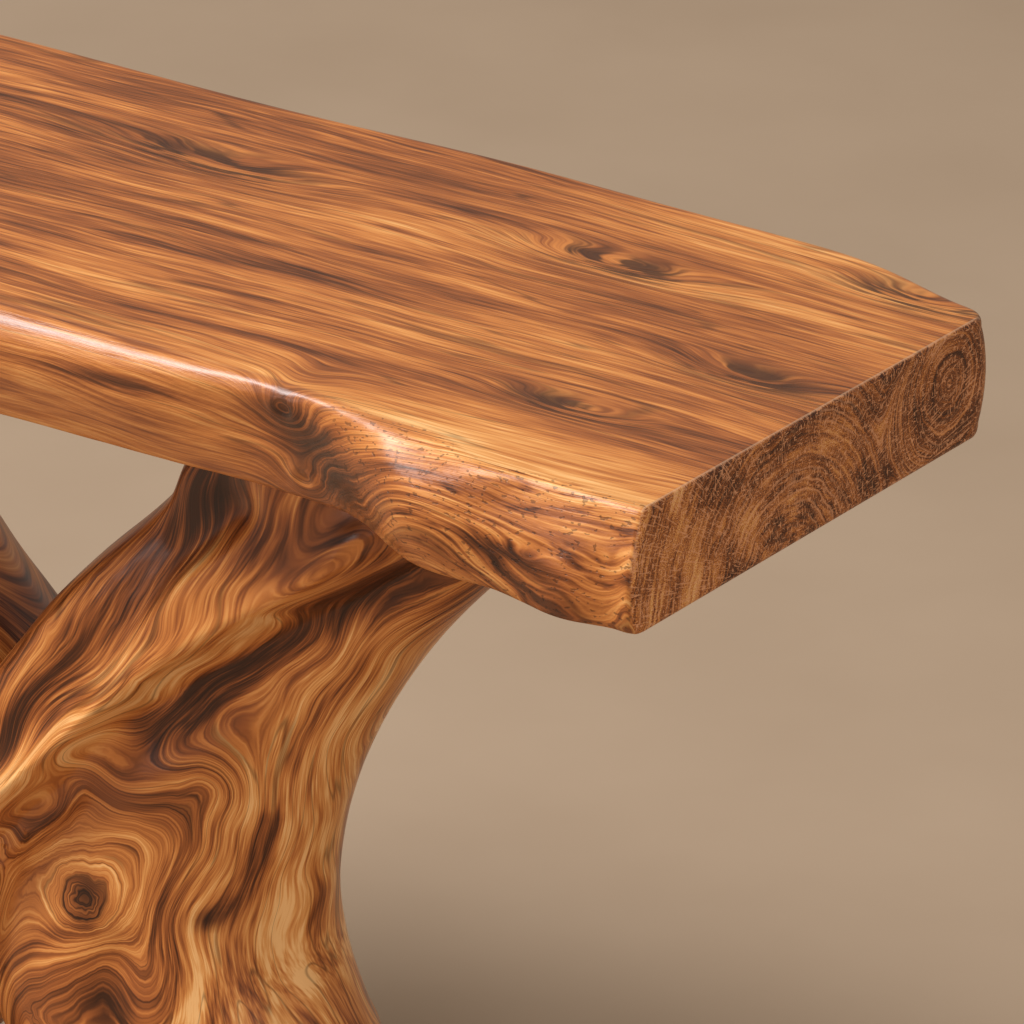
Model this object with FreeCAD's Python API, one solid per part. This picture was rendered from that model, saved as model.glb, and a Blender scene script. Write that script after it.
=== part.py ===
# Live edge console table: a thick slab with a natural front edge, carried on a carved trunk that crosses
# like an X and is bolted to the slab through two let-in steel plates. Millimetres, +Z up, floor at Z = 0,
# origin under the middle of the slab. The sawn end with the large swell is at +X and the natural front at -Y.
import FreeCAD
import Part
import math
import os
from FreeCAD import Vector

# Slab
TABLE_HEIGHT = 760.0
SLAB_LENGTH = 1200.0
SLAB_THICKNESS = 75.0
FRONT_REACH = 176.0            # middle line to the plain stretches of the natural front edge, at the top
BACK_REACH = 195.0             # middle line to the plain stretches of the back edge, at the top
FRONT_UNDERCUT = 18.0          # how far the plain front edge leans in towards the underside
BACK_UNDERCUT = 1.0
FRONT_ROUND = 7.0              # bow of the front edge between top and underside
BACK_ROUND = 7.0
END_STEP_AT = 190.0            # right sawn end to the middle of the step where the slab widens
END_STEP_RUN = 34.0            # half length of that step
END_STEP_TOP = 20.0            # how far the slab widens there at the top
END_STEP_FOOT = 40.0           # and at the underside
END_TAPER = 78.0               # length over which the back edge draws in towards each sawn end
END_DRAW_IN = 34.0             # how far it draws in
SAWN_EDGE_EASE = 2.0           # bevel along the top and the underside of the two sawn ends
FRONT_RIM = 6.0                # bevel of the front edge at the top and the underside
BACK_RIM = 6.0                 # and of the back edge
RIM_OVERRUN = 0.8              # length of a rim bevel past the top, in rims, trimmed off flat
SECTION_PITCH = 40.0           # spacing of the slab's cross sections
FACE_STOPS = 4                 # spans of each edge's curve from rim to rim

# Swells of the natural edges: distance from the right sawn end, half length, and how far the edge stands
# out at the top, at half thickness and at the underside
FRONT_SWELLS = [
    (136.0, 46.0, 8.0, 5.0, 2.0),
    (178.0, 40.0, -1.0, 5.0, 3.0),
    (285.0, 60.0, -3.0, -8.0, -2.0),
    (640.0, 95.0, 12.0, 17.0, 14.0),
    (820.0, 70.0, -9.0, -4.0, 4.0),
    (1010.0, 80.0, 11.0, 18.0, 12.0),
]
BACK_SWELLS = [
    (370.0, 110.0, 6.0, 8.0, 6.0),
    (760.0, 150.0, 5.0, 8.0, 4.0),
    (980.0, 90.0, -7.0, -5.0, -6.0),
]

# Trunk: two limbs cross over each other at the waist, and a flank on either side ties each arm to the foot
# below it. Each limb or flank is a run of ovals from arm top to foot, given as
# (share of the way up from the floor, out along X, out along Y, half width, half depth).
TRUNK_OVERRUN = 20.0           # extra length of the limbs above and below, trimmed off flat
OVAL_SIDES = 20                # flats round each oval, as a drawknife leaves them
FRONT_LIMB = [
    (1.00, 314.0, -24.0, 106.0, 74.0),
    (0.87, 234.0, -42.0, 90.0, 66.0),
    (0.68, 88.0, -52.0, 58.0, 62.0),
    (0.50, -32.0, -52.0, 62.0, 62.0),
    (0.31, -150.0, -52.0, 76.0, 66.0),
    (0.13, -252.0, -52.0, 90.0, 78.0),
    (0.00, -316.0, -54.0, 98.0, 92.0),
]
REAR_LIMB = [
    (1.00, -350.0, 26.0, 92.0, 74.0),
    (0.87, -284.0, 44.0, 86.0, 66.0),
    (0.68, -130.0, 54.0, 66.0, 62.0),
    (0.50, 20.0, 54.0, 66.0, 62.0),
    (0.31, 142.0, 52.0, 78.0, 66.0),
    (0.13, 250.0, 50.0, 90.0, 78.0),
    (0.00, 318.0, 52.0, 100.0, 94.0),
]
RIGHT_FLANK = [
    (1.00, 332.0, 12.0, 98.0, 78.0),
    (0.84, 254.0, 4.0, 98.0, 76.0),
    (0.67, 164.0, -4.0, 104.0, 78.0),
    (0.49, 115.0, -8.0, 121.0, 84.0),
    (0.36, 125.0, -6.0, 137.0, 92.0),
    (0.17, 226.0, 4.0, 124.0, 112.0),
    (0.00, 312.0, 8.0, 122.0, 138.0),
]
LEFT_FLANK = [
    (1.00, -344.0, -8.0, 96.0, 76.0),
    (0.84, -272.0, -2.0, 98.0, 76.0),
    (0.66, -172.0, 6.0, 106.0, 78.0),
    (0.47, -119.0, 8.0, 125.0, 84.0),
    (0.34, -133.0, 4.0, 139.0, 92.0),
    (0.16, -234.0, -6.0, 126.0, 112.0),
    (0.00, -318.0, -10.0, 124.0, 136.0),
]

# Steel plates let into the arm tops, with an ear past the arm at front and back
EAR_REACH = 40.0
PLATE_WIDTH = 56.0
PLATE_THICKNESS = 6.0
PLATE_CORNER = 10.0
PLATE_FIT = 0.3                # side clearance of the plate in its recess
EAR_BOLT_INSET = 17.0          # bolt centre to the plate's end
SLOT_WIDTH = 9.0
SLOT_LENGTH = 17.0             # along Y, so the slab can swell and shrink across the grain
WASHER_RADIUS = 11.0
WASHER_THICKNESS = 1.6
BOLT_RADIUS = 4.0
BOLT_HEAD_RADIUS = 7.0
BOLT_HEAD_HEIGHT = 4.4
BOLT_GRIP = 16.0               # bolt length inside the slab
HEX_KEY_ACROSS = 5.0
HEX_KEY_DEPTH = 2.6
INSERT_RADIUS = 6.5
INSERT_LENGTH = 20.0
INSERT_FLANGE = 1.2            # how far the insert's flange stands past its body
INSERT_FLANGE_DEPTH = 1.5
THREAD_CLEARANCE = 0.1
SCREW_RADIUS = 2.5
SCREW_HEAD_RADIUS = 5.0
SCREW_LENGTH = 50.0
SCREW_TIP = 8.0
SCREW_HEAD_DEPTH = 3.0
SCREW_SPREAD_Y = 34.0          # screws from the plate's middle, along it
SCREW_SPREAD_X = 14.0          # and either side of its middle line
SCREW_CLEARANCE = 0.1

# Felt pads under the feet
PAD_THICKNESS = 5.0
PAD_RADIUS = 32.0
PAD_INSET = 28.0               # foot's front or rear end to the pad's rim

# Values that follow from the sizes above
SLAB_TOP = TABLE_HEIGHT
SLAB_UNDERSIDE = TABLE_HEIGHT - SLAB_THICKNESS
RIGHT_END = SLAB_LENGTH / 2
ARM_TOPS = {1: (FRONT_LIMB[0], RIGHT_FLANK[0]), -1: (REAR_LIMB[0], LEFT_FLANK[0])}
FEET = {1: (REAR_LIMB[-1], RIGHT_FLANK[-1]), -1: (FRONT_LIMB[-1], LEFT_FLANK[-1])}
UP = Vector(0, 0, 1)
ORIGIN = Vector(0, 0, 0)


def bump(distance, half_length):
    """A smooth swell: 1 at its middle, fading out past its half length."""
    return math.exp(-((distance / half_length) ** 2))


def step(distance, run):
    """A smooth step from 0 to 1 over about twice the run."""
    return 0.5 + 0.5 * math.tanh(distance / run)


def edge_line(x, share, swells):
    """How far a natural edge stands out at x, at a share of the thickness below the top."""
    from_end = RIGHT_END - x
    out = 0.0
    for middle, half_length, top, belly, foot in swells:
        straight = top + (foot - top) * share
        bow = 4.0 * share * (1.0 - share) * (belly - (top + foot) / 2)
        out += (straight + bow) * bump(from_end - middle, half_length)
    return out


def front_y(x, share):
    """Y of the natural front edge at x, at a share of the thickness below the top."""
    from_end = RIGHT_END - x
    widening = END_STEP_TOP + (END_STEP_FOOT - END_STEP_TOP) * share
    out = FRONT_REACH - FRONT_UNDERCUT * share
    out += FRONT_ROUND * 4.0 * share * (1.0 - share)
    out += widening * step(END_STEP_AT - from_end, END_STEP_RUN)
    return -out - edge_line(x, share, FRONT_SWELLS)


def back_y(x, share):
    """Y of the back edge at x, at a share of the thickness below the top."""
    from_either_end = RIGHT_END - abs(x)
    out = BACK_REACH - BACK_UNDERCUT * share
    out += BACK_ROUND * 4.0 * share * (1.0 - share)
    out -= END_DRAW_IN * bump(from_either_end, END_TAPER)
    return out + edge_line(x, share, BACK_SWELLS)


def edge_wires(x, edge_y, inward, rim):
    """One edge of the slab's cross section at x, top to bottom: rim bevel, bowed face, rim bevel. The bevels
    run on past the top and the underside, where the blank trims them off."""
    proud = rim * RIM_OVERRUN
    top = Vector(x, edge_y(x, 0.0) + inward * (rim + proud), SLAB_TOP + proud)
    bottom = Vector(x, edge_y(x, 1.0) + inward * (rim + proud), SLAB_UNDERSIDE - proud)
    face, knots = [], []
    for i in range(FACE_STOPS + 1):
        share = i / FACE_STOPS
        below = rim + (SLAB_THICKNESS - 2 * rim) * share
        face.append(Vector(x, edge_y(x, share), SLAB_TOP - below))
        knots.append(share)
    curve = Part.BSplineCurve()
    curve.interpolate(Points=face, Parameters=knots)
    return [Part.makeLine(top, face[0]), curve.toShape(), Part.makeLine(face[-1], bottom)]


def slab_section(x):
    """The slab's cross section at x, a closed wire."""
    front = edge_wires(x, front_y, 1, FRONT_RIM)
    back = edge_wires(x, back_y, -1, BACK_RIM)
    under = Part.makeLine(front[-1].Vertexes[-1].Point, back[-1].Vertexes[-1].Point)
    over = Part.makeLine(back[0].Vertexes[0].Point, front[0].Vertexes[0].Point)
    return Part.Wire(front + [under] + back[::-1] + [over])


def seat(ovals):
    """Middle X, lowest Y and highest Y of the flat face that a pair of ovals leaves at an arm top or foot."""
    middle = sum(o[1] for o in ovals) / len(ovals)
    low = min(o[2] - o[4] for o in ovals)
    high = max(o[2] + o[4] for o in ovals)
    return middle, low, high


def plate_middle(side):
    """Middle of one plate's top face; side is 1 for the right arm or -1 for the left."""
    x, low, high = seat(ARM_TOPS[side])
    return Vector(x, (low + high) / 2, SLAB_UNDERSIDE)


def plate_length(side):
    """Length of one plate, from ear to ear across its arm."""
    x, low, high = seat(ARM_TOPS[side])
    return high - low + 2 * EAR_REACH


def insert_places(side):
    """Centres, on the slab's underside, of the two inserts over one plate."""
    along = Vector(0, plate_length(side) / 2 - EAR_BOLT_INSET, 0)
    return [plate_middle(side) - along, plate_middle(side) + along]


def screw_places(side):
    """Centres, on the plate's top, of the four wood screws of one plate."""
    places = []
    for along in (-1, 1):
        for across in (-1, 1):
            places.append(plate_middle(side) + Vector(SCREW_SPREAD_X * across, SCREW_SPREAD_Y * along, 0))
    return places


def pad_places(side):
    """Centres, on the floor, of the front and the rear felt pad under one foot."""
    x, low, high = seat(FEET[side])
    inset = PAD_INSET + PAD_RADIUS
    return [Vector(x, low + inset, 0), Vector(x, high - inset, 0)]


def turned(points, at):
    """A solid of revolution about the upright line through at, from (radius, height) points."""
    outline = [Vector(r, 0, z) for r, z in points]
    face = Part.Face(Part.makePolygon(outline + outline[:1]))
    solid = face.revolve(ORIGIN, UP, 360)
    solid.translate(at)
    return solid


def make_insert(at, clearance=0.0, bored=True):
    """A flanged threaded insert driven up into the slab from the underside, or its hole in the slab."""
    bore = BOLT_RADIUS + THREAD_CLEARANCE if bored else 0.0
    body = INSERT_RADIUS + clearance
    flange = body + INSERT_FLANGE
    top = INSERT_LENGTH + clearance
    step_up = INSERT_FLANGE_DEPTH + clearance
    outline = [(bore, 0), (flange, 0), (flange, step_up), (body, step_up), (body, top), (bore, top)]
    return turned(outline, at)


def slab_blank():
    """The block that the slab's loft is trimmed to: flat above and below, with bevelled sawn ends."""
    ease = SAWN_EDGE_EASE
    half_width = FRONT_REACH + BACK_REACH
    outline = []
    for x in (-RIGHT_END, RIGHT_END):
        inner = x - math.copysign(ease, x)
        corner = [(x, SLAB_UNDERSIDE + ease), (x, SLAB_TOP - ease), (inner, SLAB_TOP)]
        corner.insert(0, (inner, SLAB_UNDERSIDE))
        outline += corner if x < 0 else corner[::-1]
    points = [Vector(x, -half_width, z) for x, z in outline]
    return Part.Face(Part.makePolygon(points + points[:1])).extrude(Vector(0, 2 * half_width, 0))


def make_slab():
    """The slab: lofted along X, trimmed to its blank, and holed for the inserts."""
    count = round(SLAB_LENGTH / SECTION_PITCH)
    sections = [slab_section(-RIGHT_END + SLAB_LENGTH * i / count) for i in range(count + 1)]
    slab = Part.makeLoft(sections, True, False).common(slab_blank())
    for side in (1, -1):
        for at in insert_places(side):
            slab = slab.cut(make_insert(at, THREAD_CLEARANCE, bored=False))
    return slab


def oval(height, out_x, out_y, half_width, half_depth):
    """A flat oval of straight sides, started by its +X side."""
    middle = Vector(out_x, out_y, height)
    points = []
    for i in range(OVAL_SIDES):
        turn = 2 * math.pi * (i + 0.5) / OVAL_SIDES
        points.append(middle + Vector(half_width * math.cos(turn), half_depth * math.sin(turn), 0))
    return Part.makePolygon(points + points[:1])


def make_limb(stations):
    """A limb through its ovals, run on upright past the first and last by the overrun."""
    ovals = [oval(share * SLAB_UNDERSIDE, *rest) for share, *rest in stations]
    over = oval(SLAB_UNDERSIDE + TRUNK_OVERRUN, *stations[0][1:])
    under = oval(-TRUNK_OVERRUN, *stations[-1][1:])
    return Part.makeLoft([over] + ovals + [under], True, False)


def plate_block(side, clearance):
    """One plate's block, with rounded corners, grown at its sides by the clearance."""
    length = plate_length(side) + 2 * clearance
    width = PLATE_WIDTH + 2 * clearance
    corner = Vector(-width / 2, -length / 2, -PLATE_THICKNESS)
    block = Part.makeBox(width, length, PLATE_THICKNESS, corner)
    upright = [e for e in block.Edges if e.BoundBox.ZLength > PLATE_THICKNESS / 2]
    block = block.makeFillet(PLATE_CORNER + clearance, upright)
    block.translate(plate_middle(side))
    return block


def make_screw(at, clearance=0.0):
    """A countersunk wood screw, its head flush with the plate's top, or its hole."""
    shank = SCREW_RADIUS + clearance
    head = SCREW_HEAD_RADIUS + clearance
    tip = -SCREW_LENGTH - clearance
    outline = [(0, 0), (head, 0), (shank, -SCREW_HEAD_DEPTH), (shank, tip + SCREW_TIP), (0, tip)]
    return turned(outline, at)


def make_trunk():
    """The trunk, trimmed flat under the slab and over the pads, with recesses and screw holes in its arms."""
    others = [make_limb(stations) for stations in (REAR_LIMB, RIGHT_FLANK, LEFT_FLANK)]
    trunk = make_limb(FRONT_LIMB).fuse(others)
    height = SLAB_UNDERSIDE - PAD_THICKNESS
    corner = Vector(-SLAB_LENGTH, -SLAB_LENGTH, PAD_THICKNESS)
    trunk = trunk.common(Part.makeBox(2 * SLAB_LENGTH, 2 * SLAB_LENGTH, height, corner))
    for side in (1, -1):
        trunk = trunk.cut(plate_block(side, PLATE_FIT))
        for at in screw_places(side):
            trunk = trunk.cut(make_screw(at, SCREW_CLEARANCE))
    return trunk


def make_plate(side):
    plate = plate_block(side, 0.0)
    for at in screw_places(side):
        plate = plate.cut(make_screw(at, SCREW_CLEARANCE))
    for at in insert_places(side):
        plate = plate.cut(make_slot(at))
    return plate


def make_slot(at):
    """The upright slot through a plate's ear, long along Y."""
    straight = SLOT_LENGTH - SLOT_WIDTH
    radius = SLOT_WIDTH / 2
    block = Part.makeBox(SLOT_WIDTH, straight, PLATE_THICKNESS, Vector(-radius, -straight / 2, 0))
    ends = [Part.makeCylinder(radius, PLATE_THICKNESS, Vector(0, y, 0)) for y in (-straight / 2, straight / 2)]
    slot = block.fuse(ends).removeSplitter()
    slot.translate(at - Vector(0, 0, PLATE_THICKNESS))
    return slot


def make_washer(at):
    washer = Part.makeCylinder(WASHER_RADIUS, WASHER_THICKNESS)
    washer = washer.cut(Part.makeCylinder(BOLT_RADIUS + THREAD_CLEARANCE, WASHER_THICKNESS))
    washer.translate(at - Vector(0, 0, PLATE_THICKNESS + WASHER_THICKNESS))
    return washer


def make_bolt(at):
    """A button head bolt with a hexagon socket, its head under the washer and its shank up in the insert."""
    seat = -PLATE_THICKNESS - WASHER_THICKNESS
    dome = Part.makeSphere(BOLT_HEAD_RADIUS, ORIGIN, UP, -90, 0, 360)
    squash = FreeCAD.Matrix()
    squash.scale(1, 1, BOLT_HEAD_HEIGHT / BOLT_HEAD_RADIUS)
    head = dome.transformGeometry(squash)
    corner = HEX_KEY_ACROSS / math.sqrt(3)
    hexagon = []
    for i in range(7):
        turn = math.pi * i / 3
        hexagon.append(Vector(corner * math.cos(turn), corner * math.sin(turn), -BOLT_HEAD_HEIGHT))
    socket = Part.Face(Part.makePolygon(hexagon)).extrude(Vector(0, 0, HEX_KEY_DEPTH))
    shank = Part.makeCylinder(BOLT_RADIUS, BOLT_GRIP - seat)
    bolt = head.cut(socket).fuse(shank).removeSplitter()
    bolt.translate(at + Vector(0, 0, seat))
    return bolt


def make_pad(at):
    return Part.makeCylinder(PAD_RADIUS, PAD_THICKNESS, at)


def write_node(name, solids):
    """One node's file, holding one solid or a group of separate ones."""
    shape = solids[0] if len(solids) == 1 else Part.makeCompound(solids)
    shape.exportStep(os.path.join("parts", name + ".step"))
    volume = sum(s.Volume for s in solids) / 1000
    print(f"{name}: valid {shape.isValid()}, {len(shape.Solids)} solid(s), {volume:.1f} cm3")


def main():
    os.makedirs("parts", exist_ok=True)
    write_node("slab_top", [make_slab()])
    write_node("trunk_base", [make_trunk()])
    for name, side in (("right", 1), ("left", -1)):
        write_node(f"{name}_top_plate", [make_plate(side)])
        write_node(f"{name}_plate_screws", [make_screw(at) for at in screw_places(side)])
        write_node(f"{name}_slab_inserts", [make_insert(at) for at in insert_places(side)])
        write_node(f"{name}_slab_bolts", [make_bolt(at) for at in insert_places(side)])
        write_node(f"{name}_bolt_washers", [make_washer(at) for at in insert_places(side)])
        for way, at in zip(("front", "rear"), pad_places(side)):
            write_node(f"{way}_{name}_felt_pad", [make_pad(at)])


main()
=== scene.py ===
import bpy
import math
import numpy as np
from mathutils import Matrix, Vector, noise
from mathutils.bvhtree import BVHTree


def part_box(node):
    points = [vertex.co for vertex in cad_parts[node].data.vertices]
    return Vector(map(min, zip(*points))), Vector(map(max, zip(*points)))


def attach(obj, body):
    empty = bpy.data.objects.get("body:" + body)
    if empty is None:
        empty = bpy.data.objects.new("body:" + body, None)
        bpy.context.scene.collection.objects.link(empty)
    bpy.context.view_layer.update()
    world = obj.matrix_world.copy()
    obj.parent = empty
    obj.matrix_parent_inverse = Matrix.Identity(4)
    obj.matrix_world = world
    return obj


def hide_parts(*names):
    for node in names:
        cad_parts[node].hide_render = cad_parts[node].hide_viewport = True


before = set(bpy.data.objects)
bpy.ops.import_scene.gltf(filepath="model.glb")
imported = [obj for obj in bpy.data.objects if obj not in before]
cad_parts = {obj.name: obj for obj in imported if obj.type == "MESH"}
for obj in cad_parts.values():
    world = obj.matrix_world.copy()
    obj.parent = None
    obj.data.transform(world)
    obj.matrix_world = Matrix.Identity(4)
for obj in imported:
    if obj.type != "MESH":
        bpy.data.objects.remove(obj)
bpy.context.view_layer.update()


# Trunk base: one gnarled hardwood trunk, carved so that its two limbs cross like an X, sanded and oiled to
# a gloss. Its arms are planed flat under the slab and its feet flat over the felt pads. The ridge along the
# front limb and the furrows beside it follow the old surface of the tree.
TRUNK_LOW, TRUNK_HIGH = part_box("trunk_base")
TRUNK_VOXEL = 0.0045
TRUNK_FLAT = 0.0008
MERGE_GAP = 0.00002
PLATE_FIT = 0.0003
SCREW_HEAD_RADIUS = 0.005
SCREW_HOLE_RADIUS = 0.0026
CUT_OVERRUN = 0.020
FILL_SIDE = 0.008
FILL_FOOT = 0.002


def start_edit(select="SELECT"):
    """Edit mode on the active piece, with all of it or none of it selected."""
    bpy.ops.object.mode_set(mode="EDIT")
    bpy.ops.mesh.select_all(action=select)


def end_edit():
    bpy.ops.object.mode_set(mode="OBJECT")


def apply_modifier(piece, kind, **settings):
    """Adds a modifier with its settings to the active piece and applies it."""
    modifier = piece.modifiers.new(kind.title(), kind)
    for key, value in settings.items():
        setattr(modifier, key, value)
    bpy.ops.object.modifier_apply(modifier=modifier.name)


def make_active(piece):
    """Makes a piece the active, only selected one."""
    bpy.ops.object.select_all(action="DESELECT")
    piece.select_set(True)
    bpy.context.view_layer.objects.active = piece


def copy_of_node(node, name):
    """A merged copy of a node's solid, as the active, only selected piece."""
    piece = bpy.data.objects.new(name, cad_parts[node].data.copy())
    piece.data.materials.clear()
    bpy.context.scene.collection.objects.link(piece)
    make_active(piece)
    bpy.ops.mesh.customdata_custom_splitnormals_clear()
    start_edit()
    bpy.ops.mesh.remove_doubles(threshold=MERGE_GAP)
    end_edit()
    return piece


def points_of(piece):
    """The piece's vertex places as an array."""
    places = np.empty(len(piece.data.vertices) * 3)
    piece.data.vertices.foreach_get("co", places)
    return places.reshape(-1, 3)


def put_points(piece, places):
    piece.data.vertices.foreach_set("co", places.reshape(-1))
    piece.data.update()


def outward(piece):
    """The piece's vertex normals as an array."""
    normals = np.empty(len(piece.data.vertices) * 3)
    piece.data.vertex_normals.foreach_get("vector", normals)
    return normals.reshape(-1, 3)


def along_line(places, line):
    """For each place: the distance to a line, its nearest point, the run to that and its heading."""
    line = np.array(line)
    best = np.full(len(places), np.inf)
    near = np.zeros_like(places)
    run = np.zeros(len(places))
    heading = np.zeros_like(places)
    done = 0.0
    for start, end in zip(line, line[1:]):
        step = end - start
        length = np.linalg.norm(step)
        share = np.clip((places - start) @ step / length ** 2, 0, 1)
        point = start + share[:, None] * step
        away = np.linalg.norm(places - point, axis=1)
        closer = away < best
        best[closer] = away[closer]
        near[closer] = point[closer]
        run[closer] = done + share[closer] * length
        heading[closer] = step / length
        done += length
    return best, near, run, heading


def soft_noise(places, scale, seed):
    """Smooth noise from -1 to 1 at each place, stretched by the scale on each axis."""
    shifted = places * np.array(scale) + seed
    return np.array([noise.noise(Vector(p)) for p in shifted])


def add_block(low, high):
    """A block between two corners, as the active, only selected piece."""
    bpy.ops.object.select_all(action="DESELECT")
    bpy.ops.mesh.primitive_cube_add(size=1.0, location=(low + high) / 2)
    block = bpy.context.active_object
    block.scale = high - low
    bpy.ops.object.transform_apply(location=True, rotation=False, scale=True)
    return block


def add_peg(x, y, low, high, radius):
    """An upright cylinder, as the active, only selected piece."""
    bpy.ops.object.select_all(action="DESELECT")
    middle = (x, y, (low + high) / 2)
    bpy.ops.mesh.primitive_cylinder_add(vertices=24, radius=radius, depth=high - low, location=middle)
    bpy.ops.object.transform_apply(location=True, rotation=False, scale=False)
    return bpy.context.active_object


def joined(pieces):
    """The pieces as one, the first of them, as the active, only selected piece."""
    make_active(pieces[0])
    for piece in pieces:
        piece.select_set(True)
    bpy.ops.object.join()
    return pieces[0]


def cut_away(piece, cutters):
    """Takes the shapes of cutters that stand clear of each other out of the piece."""
    cutter = joined(cutters)
    make_active(piece)
    apply_modifier(piece, "BOOLEAN", operation="DIFFERENCE", object=cutter, solver="EXACT")
    bpy.data.objects.remove(cutter)


def corners(node, margin):
    """The places of four round solids at the corners of a node's box, a margin in from its sides."""
    low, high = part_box(node)
    return [(x, y) for x in (low.x + margin, high.x - margin) for y in (low.y + margin, high.y - margin)]


trunk = copy_of_node("trunk_base", "carved_trunk")
fillings = []
for side in ("right", "left"):
    low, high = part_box(side + "_plate_screws")
    fill_low = low - Vector((FILL_SIDE, CUT_OVERRUN, FILL_FOOT))
    fill_high = high + Vector((FILL_SIDE, CUT_OVERRUN, 0.0))
    fillings.append(add_block(fill_low, fill_high))
joined([trunk, *fillings])
trunk.data.remesh_voxel_size = TRUNK_VOXEL
bpy.ops.object.voxel_remesh()
apply_modifier(trunk, "SMOOTH", factor=0.5, iterations=30)

# Ridges stand out and furrows sink in, each along a line of points on the trunk: (line, half width, push)
TRUNK_RELIEF = [
    ([(0.345, -0.080, 0.655), (0.300, -0.090, 0.598), (0.200, -0.090, 0.529), (0.132, -0.094, 0.468),
      (0.060, -0.100, 0.400), (-0.020, -0.100, 0.322)], 0.017, (0.008, -0.022, 0.011)),
    ([(0.235, -0.100, 0.640), (0.184, -0.100, 0.591), (0.137, -0.112, 0.525), (0.073, -0.112, 0.450),
      (0.000, -0.110, 0.375)], 0.021, (0.005, 0.018, -0.007)),
    ([(0.344, -0.049, 0.601), (0.280, -0.067, 0.563), (0.218, -0.076, 0.511), (0.156, -0.081, 0.464)],
     0.014, (-0.002, 0.009, 0.002)),
    ([(0.345, -0.055, 0.610), (0.265, -0.064, 0.530), (0.200, -0.074, 0.472), (0.104, -0.078, 0.408),
      (0.040, -0.075, 0.355)], 0.010, (-0.002, 0.005, 0.0)),
    ([(0.140, -0.092, 0.310), (0.134, -0.092, 0.275), (0.150, -0.094, 0.235)], 0.020, (0.0, 0.008, 0.0)),
    ([(0.230, -0.045, 0.360), (0.255, -0.050, 0.250), (0.300, -0.080, 0.120)], 0.018, (-0.004, 0.006, 0.0)),
    ([(-0.310, -0.060, 0.620), (-0.210, -0.078, 0.500), (-0.150, -0.080, 0.400)], 0.018, (0.0, 0.009, 0.0)),
    ([(-0.240, -0.110, 0.130), (-0.150, -0.110, 0.240), (-0.090, -0.105, 0.320)],
     0.017, (0.0, -0.010, 0.004)),
    ([(0.180, 0.115, 0.200), (0.090, 0.112, 0.290), (-0.010, 0.112, 0.370), (-0.120, 0.110, 0.460)],
     0.018, (0.0, 0.010, 0.004)),
    ([(0.250, 0.100, 0.180), (0.160, 0.110, 0.270), (0.080, 0.112, 0.350), (-0.040, 0.110, 0.450)],
     0.018, (0.0, -0.009, 0.0)),
]
TOP_HELD = 0.012
TOP_HELD_FADE = 0.035
FOOT_HELD = 0.006
FOOT_HELD_FADE = 0.030
places = points_of(trunk)
moved = places.copy()
hold = np.clip((TRUNK_HIGH.z - TOP_HELD - places[:, 2]) / TOP_HELD_FADE, 0, 1)
hold *= np.clip((places[:, 2] - TRUNK_LOW.z - FOOT_HELD) / FOOT_HELD_FADE, 0, 1)
for line, half_width, push in TRUNK_RELIEF:
    share = hold * np.exp(-(along_line(places, line)[0] / half_width) ** 2)
    moved += share[:, None] * np.array(push)

# The right arm flares towards the fork just under the slab
ARM_FLARE = [(0.232, -0.060, 0.705), (0.206, -0.070, 0.648)]
FLARE_HALF_WIDTH = 0.038
FLARE_PUSH = (-0.021, -0.004, 0.0)
share = np.exp(-(along_line(places, ARM_FLARE)[0] / FLARE_HALF_WIDTH) ** 2)
moved += share[:, None] * np.array(FLARE_PUSH)
put_points(trunk, moved)
bpy.ops.object.voxel_remesh()

# Slow and fine unevenness of the sanded surface, with the planed flats kept
BROAD_LIFT = 0.0022
FINE_LIFT = 0.0009
before = points_of(trunk)
apply_modifier(trunk, "SMOOTH", factor=0.5, iterations=10)
places = points_of(trunk)
lift = BROAD_LIFT * soft_noise(places, (9.0, 9.0, 9.0), 3.0)
lift += FINE_LIFT * soft_noise(places, (26.0, 26.0, 20.0), 8.0)
places += outward(trunk) * lift[:, None]
places[before[:, 2] > TRUNK_HIGH.z - TRUNK_FLAT, 2] = TRUNK_HIGH.z
places[before[:, 2] < TRUNK_LOW.z + TRUNK_FLAT, 2] = TRUNK_LOW.z
places[:, 2] = np.clip(places[:, 2], TRUNK_LOW.z, TRUNK_HIGH.z)
put_points(trunk, places)

# A recess for each plate and a hole for each of its screws
HOLE_OVERRUN = 0.001
recesses = []
holes = []
for side in ("right", "left"):
    low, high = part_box(side + "_top_plate")
    recess_low = low - Vector((PLATE_FIT, CUT_OVERRUN, 0.0))
    recess_high = high + Vector((PLATE_FIT, CUT_OVERRUN, CUT_OVERRUN))
    recesses.append(add_block(recess_low, recess_high))
    screw_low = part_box(side + "_plate_screws")[0].z
    for x, y in corners(side + "_plate_screws", SCREW_HEAD_RADIUS):
        holes.append(add_peg(x, y, screw_low - HOLE_OVERRUN, low.z + HOLE_OVERRUN, SCREW_HOLE_RADIUS))
cut_away(trunk, recesses)
cut_away(trunk, holes)
make_active(trunk)
bpy.ops.object.shade_smooth_by_angle(angle=math.radians(45))
places = points_of(trunk)

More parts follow.
